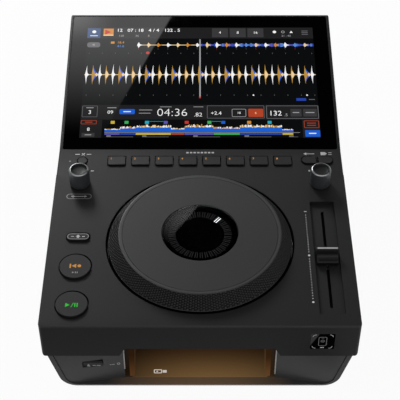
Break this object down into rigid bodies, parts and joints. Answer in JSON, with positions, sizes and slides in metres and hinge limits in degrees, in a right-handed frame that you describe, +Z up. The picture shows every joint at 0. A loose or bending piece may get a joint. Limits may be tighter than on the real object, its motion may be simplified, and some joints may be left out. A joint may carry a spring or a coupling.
{
  "type": "tabletop media player",
  "caption": "Tabletop DJ media player: flat deck with a centred jog wheel, tempo slider, knobs and key row, a tilted touch screen behind, and a stepped-in base with a front USB bay.",
  "frame": {"origin": "centre of the whole object's bounding box in X and Y, on the table that its feet stand on", "axes": "+Z up, +Y towards the screen and the rear sockets, +X to the user's right"},
  "size_m": [0.25, 0.367, 0.1104],
  "materials": {
    "cover": "fine-textured black moulded ABS",
    "base": "satin dark grey moulded ABS",
    "fascia": "satin dark grey moulded ABS",
    "liner": "satin moulded ABS",
    "light_guide": "frosted amber acrylic, lit from behind",
    "rubber": "matt",
    "fastener": "zinc plated",
    "touch_glass": "polished, black bordered touch glass",
    "lcd": "display module",
    "pressed_steel": "zinc plated sheet",
    "rear_plate": "black powder coat",
    "socket_metal": "nickel plated",
    "socket_plastic": "moulded",
    "bearing_steel": "ground steel",
    "inner_plastic": "moulded",
    "lens": "polished",
    "window_gloss": "polished black",
    "circuit_board": "solder resist over glass fibre",
    "jog_plate": "fine matt paint on pressed aluminium",
    "jog_ring": "knurled moulding",
    "knob": "satin, with a bright turned bevel",
    "shaft_metal": "turned",
    "fader_cap": "semi-gloss with a silver line",
    "pad_key": "satin silicone-coated key",
    "key": "satin key"
  },
  "bodies": {
    "case": {"top_cover": "cover", "base_shell": "base", "left_fascia": "fascia", "right_fascia": "fascia", "bay_liner": "liner", "bay_light_guides": "light_guide", "feet": "rubber", "screws": "fastener", "screen_glass": "touch_glass", "lcd_panel": "lcd", "screen_bracket": "pressed_steel", "rear_panel": "rear_plate", "rear_jacks": "socket_metal", "ac_inlet": "socket_plastic", "jog_bearing_inner": "bearing_steel", "jog_bearing_balls": "bearing_steel", "jog_base_frame": "pressed_steel", "jog_display_post": "inner_plastic", "jog_display_panel": "lcd", "jog_lens": "lens", "jog_encoder_sensor": "inner_plastic", "fader_plate": "cover", "fader_body": "pressed_steel", "selector_encoder": "socket_metal", "loop_encoder": "socket_metal", "control_board": "circuit_board", "main_board": "circuit_board", "power_supply": "circuit_board", "usb_sockets": "socket_metal", "nfc_window": "window_gloss", "eject_switch": "circuit_board"},
    "jog_wheel": {"jog_top_plate": "jog_plate", "jog_ring": "jog_ring", "jog_hub": "inner_plastic", "jog_bearing_outer": "bearing_steel", "jog_encoder_disc": "inner_plastic"},
    "tempo_slider": {"fader_lever": "pressed_steel", "fader_cap": "fader_cap"},
    "selector_push": {"selector_plunger": "inner_plastic"},
    "selector": {"selector_knob": "knob", "selector_shaft": "shaft_metal"},
    "loop_push": {"loop_plunger": "inner_plastic"},
    "loop": {"loop_knob": "knob", "loop_shaft": "shaft_metal"},
    "hot_cue_1": {"hot_cue_button_1": "pad_key"},
    "hot_cue_2": {"hot_cue_button_2": "pad_key"},
    "hot_cue_3": {"hot_cue_button_3": "pad_key"},
    "hot_cue_4": {"hot_cue_button_4": "pad_key"},
    "hot_cue_5": {"hot_cue_button_5": "pad_key"},
    "hot_cue_6": {"hot_cue_button_6": "pad_key"},
    "hot_cue_7": {"hot_cue_button_7": "pad_key"},
    "hot_cue_8": {"hot_cue_button_8": "pad_key"},
    "shift_key": {"shift_button": "key"},
    "cue_key": {"cue_button": "key"},
    "play_key": {"play_button": "key"},
    "delete_key": {"delete_button": "key"},
    "back_key": {"back_button": "key"},
    "tag_key": {"tag_button": "key"},
    "eject_key": {"eject_button": "key"},
    "power_key": {"power_button": "key"}
  },
  "joints": [
    {"name": "jog_spin", "type": "hinge", "parent": "case", "child": "jog_wheel", "pos_m": [0, -0.0935, 0.0845], "axis": [0, 0, 1], "continuous": true},
    {"name": "tempo_slide", "type": "slide", "parent": "case", "child": "tempo_slider", "axis": [0, -1, 0], "range_m": [-0.05, 0.05]},
    {"name": "selector_press", "type": "slide", "parent": "case", "child": "selector_push", "axis": [0, 0, -1], "range_m": [0, 0.0005], "stiffness_N_per_m": 1500},
    {"name": "selector_turn", "type": "hinge", "parent": "selector_push", "child": "selector", "pos_m": [-0.1035, -0.0253, 0.0845], "axis": [0, 0, 1], "continuous": true},
    {"name": "loop_press", "type": "slide", "parent": "case", "child": "loop_push", "axis": [0, 0, -1], "range_m": [0, 0.0005], "stiffness_N_per_m": 1500},
    {"name": "loop_turn", "type": "hinge", "parent": "loop_push", "child": "loop", "pos_m": [0.1035, -0.0253, 0.0845], "axis": [0, 0, 1], "continuous": true},
    {"name": "hot_cue_1_press", "type": "slide", "parent": "case", "child": "hot_cue_1", "axis": [0, 0, -1], "range_m": [0, 0.0007], "stiffness_N_per_m": 500},
    {"name": "hot_cue_2_press", "type": "slide", "parent": "case", "child": "hot_cue_2", "axis": [0, 0, -1], "range_m": [0, 0.0007], "stiffness_N_per_m": 500},
    {"name": "hot_cue_3_press", "type": "slide", "parent": "case", "child": "hot_cue_3", "axis": [0, 0, -1], "range_m": [0, 0.0007], "stiffness_N_per_m": 500},
    {"name": "hot_cue_4_press", "type": "slide", "parent": "case", "child": "hot_cue_4", "axis": [0, 0, -1], "range_m": [0, 0.0007], "stiffness_N_per_m": 500},
    {"name": "hot_cue_5_press", "type": "slide", "parent": "case", "child": "hot_cue_5", "axis": [0, 0, -1], "range_m": [0, 0.0007], "stiffness_N_per_m": 500},
    {"name": "hot_cue_6_press", "type": "slide", "parent": "case", "child": "hot_cue_6", "axis": [0, 0, -1], "range_m": [0, 0.0007], "stiffness_N_per_m": 500},
    {"name": "hot_cue_7_press", "type": "slide", "parent": "case", "child": "hot_cue_7", "axis": [0, 0, -1], "range_m": [0, 0.0007], "stiffness_N_per_m": 500},
    {"name": "hot_cue_8_press", "type": "slide", "parent": "case", "child": "hot_cue_8", "axis": [0, 0, -1], "range_m": [0, 0.0007], "stiffness_N_per_m": 500},
    {"name": "shift_press", "type": "slide", "parent": "case", "child": "shift_key", "axis": [0, 0, -1], "range_m": [0, 0.0007], "stiffness_N_per_m": 500},
    {"name": "cue_press", "type": "slide", "parent": "case", "child": "cue_key", "axis": [0, 0, -1], "range_m": [0, 0.0007], "stiffness_N_per_m": 500},
    {"name": "play_press", "type": "slide", "parent": "case", "child": "play_key", "axis": [0, 0, -1], "range_m": [0, 0.0007], "stiffness_N_per_m": 500},
    {"name": "delete_press", "type": "slide", "parent": "case", "child": "delete_key", "axis": [0, 0, -1], "range_m": [0, 0.0007], "stiffness_N_per_m": 500},
    {"name": "back_press", "type": "slide", "parent": "case", "child": "back_key", "axis": [0, 0, -1], "range_m": [0, 0.0007], "stiffness_N_per_m": 500},
    {"name": "tag_press", "type": "slide", "parent": "case", "child": "tag_key", "axis": [0, 0, -1], "range_m": [0, 0.0007], "stiffness_N_per_m": 500},
    {"name": "eject_press", "type": "slide", "parent": "case", "child": "eject_key", "axis": [0, 1, 0], "range_m": [0, 0.001], "stiffness_N_per_m": 500},
    {"name": "power_press", "type": "slide", "parent": "case", "child": "power_key", "axis": [0, -1, 0], "range_m": [0, 0.0015], "stiffness_N_per_m": 500}
  ]
}
